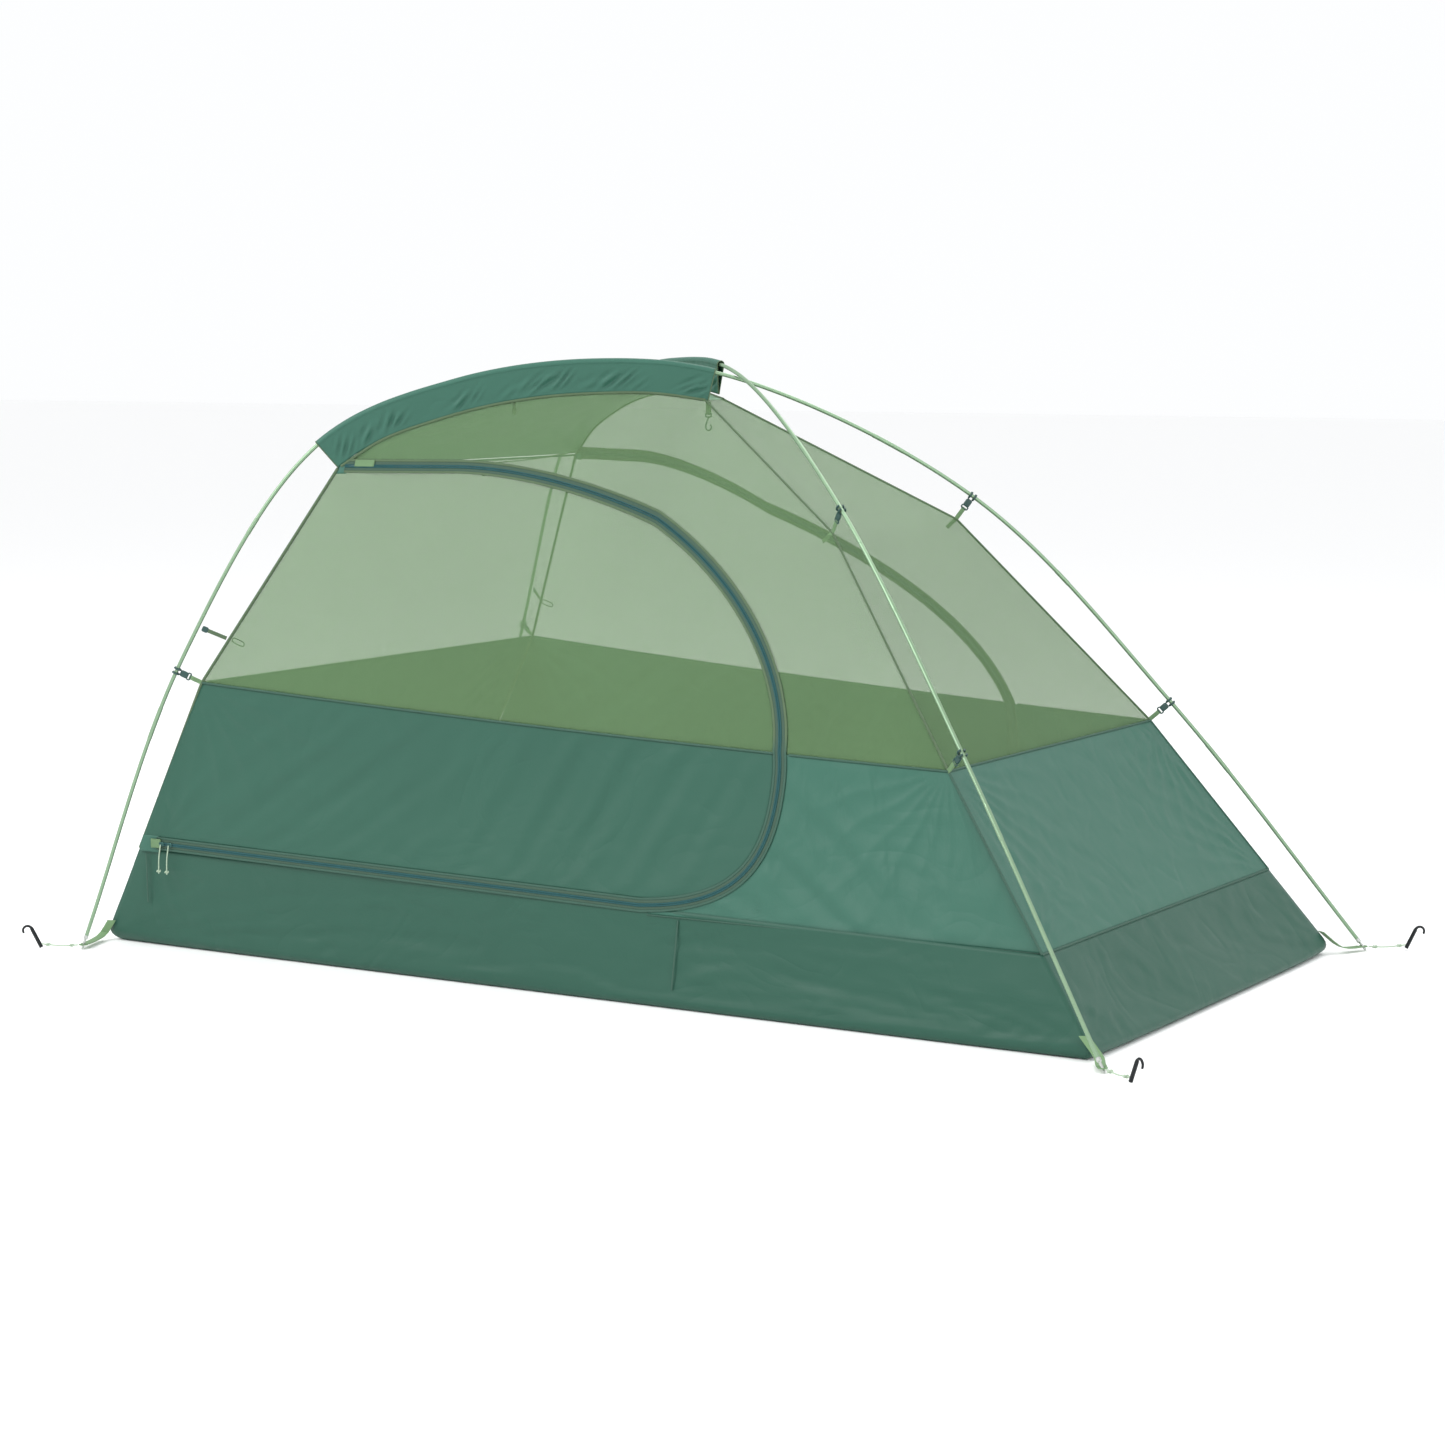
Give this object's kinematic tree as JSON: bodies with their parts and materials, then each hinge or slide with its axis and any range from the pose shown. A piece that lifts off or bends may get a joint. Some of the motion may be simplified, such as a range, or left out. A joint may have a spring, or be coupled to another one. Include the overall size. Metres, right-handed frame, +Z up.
{
  "type": "tent on poles",
  "caption": "Backpacking tent inner pitched on crossing poles: bathtub floor, mesh upper walls, a zipped D-shaped door on each long side, pole clips and corner stakes.",
  "frame": {"origin": "on the ground, midway between the pole feet, under the middle of the floor", "axes": "+X towards the long, low foot end, +Z up, +Y towards the rear door; the front door faces -Y"},
  "size_m": [2.3954, 1.4912, 1.1719],
  "materials": {
    "coated_cloth": "thin coated ripstop nylon, slight sheen",
    "floor_cloth": "heavier coated nylon, dark teal",
    "mesh_fabric": "fine see-through insect mesh",
    "zip_tape": "woven tape with a nylon coil",
    "webbing": "woven narrow webbing",
    "cord": "braided thin cord",
    "pole_aluminium": "anodised light green",
    "tip_aluminium": "bare turned",
    "clip_plastic": "moulded, fine grain",
    "slider_metal": "enamelled die-cast",
    "stake_steel": "dark coated wire"
  },
  "bodies": {
    "root": {"pole_a_section_1": "pole_aluminium", "pole_a_section_2": "pole_aluminium", "pole_a_section_3": "pole_aluminium", "pole_a_section_4": "pole_aluminium", "pole_b_section_1": "pole_aluminium", "pole_b_section_2": "pole_aluminium", "pole_b_section_3": "pole_aluminium", "pole_b_section_4": "pole_aluminium", "pole_tip_foot_front": "tip_aluminium", "pole_tip_head_rear": "tip_aluminium", "pole_tip_foot_rear": "tip_aluminium", "pole_tip_head_front": "tip_aluminium", "bathtub_floor": "floor_cloth", "lower_wall_front": "coated_cloth", "lower_wall_rear": "coated_cloth", "mesh_wall_front": "mesh_fabric", "mesh_wall_rear": "mesh_fabric", "zip_band_front": "zip_tape", "zip_band_rear": "zip_tape", "lower_wall_foot": "coated_cloth", "lower_wall_head": "coated_cloth", "mesh_wall_foot": "mesh_fabric", "mesh_wall_head": "mesh_fabric", "roof_panel": "coated_cloth", "pole_sleeve_front": "coated_cloth", "pole_sleeve_rear": "coated_cloth", "pole_clip_foot_lower_front": "clip_plastic", "pole_clip_foot_upper_front": "clip_plastic", "pole_clip_foot_lower_rear": "clip_plastic", "pole_clip_foot_upper_rear": "clip_plastic", "pole_clip_head_front": "clip_plastic", "pole_clip_head_rear": "clip_plastic", "corner_webbing_foot_front": "webbing", "corner_webbing_foot_rear": "webbing", "stake_cord_foot_front": "cord", "stake_cord_foot_rear": "cord", "corner_webbing_head_front": "webbing", "corner_webbing_head_rear": "webbing", "stake_cord_head_front": "cord", "stake_cord_head_rear": "cord", "gear_hook_strap": "webbing"},
    "front_door": {"door_cloth_front": "coated_cloth", "door_mesh_front": "mesh_fabric"},
    "front_slider_1": {"zip_slider_1_front": "slider_metal", "zip_pull_1_front": "cord"},
    "front_slider_2": {"zip_slider_2_front": "slider_metal", "zip_pull_2_front": "cord"},
    "front_toggle": {"door_toggle_front": "clip_plastic"},
    "foot_front_stake": {"stake_foot_front": "stake_steel"},
    "head_front_stake": {"stake_head_front": "stake_steel"},
    "rear_door": {"door_cloth_rear": "coated_cloth", "door_mesh_rear": "mesh_fabric"},
    "rear_slider_1": {"zip_slider_1_rear": "slider_metal", "zip_pull_1_rear": "cord"},
    "rear_slider_2": {"zip_slider_2_rear": "slider_metal", "zip_pull_2_rear": "cord"},
    "rear_toggle": {"door_toggle_rear": "clip_plastic"},
    "foot_rear_stake": {"stake_foot_rear": "stake_steel"},
    "head_rear_stake": {"stake_head_rear": "stake_steel"},
    "hook": {"gear_hook": "clip_plastic"}
  },
  "joints": [
    {"name": "front_door_hinge", "type": "hinge", "parent": "root", "child": "front_door", "pos_m": [-0.86573, -0.57525, 0.53827], "axis": [-0.4494, -0.1593, -0.879], "range_deg": [0, 120]},
    {"name": "rear_door_hinge", "type": "hinge", "parent": "root", "child": "rear_door", "pos_m": [-0.86573, 0.57525, 0.53827], "axis": [0.4494, -0.1593, 0.879], "range_deg": [0, 120]},
    {"name": "front_slider_1_slide", "type": "slide", "parent": "root", "child": "front_slider_1", "axis": [0.9991, 0.0353, -0.0251], "range_m": [0, 0.007]},
    {"name": "front_slider_2_slide", "type": "slide", "parent": "root", "child": "front_slider_2", "axis": [0.9991, 0.0353, -0.0251], "range_m": [0, 1]},
    {"name": "rear_slider_1_slide", "type": "slide", "parent": "root", "child": "rear_slider_1", "axis": [0.9991, -0.0353, -0.0251], "range_m": [0, 0.007]},
    {"name": "rear_slider_2_slide", "type": "slide", "parent": "root", "child": "rear_slider_2", "axis": [0.9991, -0.0353, -0.0251], "range_m": [0, 1]},
    {"name": "foot_front_stake_pull", "type": "slide", "parent": "root", "child": "foot_front_stake", "axis": [0.3634, -0.2451, 0.8988], "range_m": [0, 0.06]},
    {"name": "head_front_stake_pull", "type": "slide", "parent": "root", "child": "head_front_stake", "axis": [-0.3634, -0.2451, 0.8988], "range_m": [0, 0.06]},
    {"name": "foot_rear_stake_pull", "type": "slide", "parent": "root", "child": "foot_rear_stake", "axis": [0.3634, 0.2451, 0.8988], "range_m": [0, 0.06]},
    {"name": "head_rear_stake_pull", "type": "slide", "parent": "root", "child": "head_rear_stake", "axis": [-0.3634, 0.2451, 0.8988], "range_m": [0, 0.06]},
    {"name": "front_toggle_swing", "type": "hinge", "parent": "root", "child": "front_toggle", "pos_m": [-0.8211, -0.54229, 0.622], "axis": [0.4472, 0.3102, 0.8389], "range_deg": [-25, 25]},
    {"name": "rear_toggle_swing", "type": "hinge", "parent": "root", "child": "rear_toggle", "pos_m": [-0.8211, 0.54229, 0.622], "axis": [0.4472, -0.3102, 0.8389], "range_deg": [-25, 25]},
    {"name": "gear_hook_swing", "type": "hinge", "parent": "root", "child": "hook", "pos_m": [-0.04959, 0, 1.06352], "axis": [1, 0, 0], "range_deg": [-60, 60]}
  ]
}
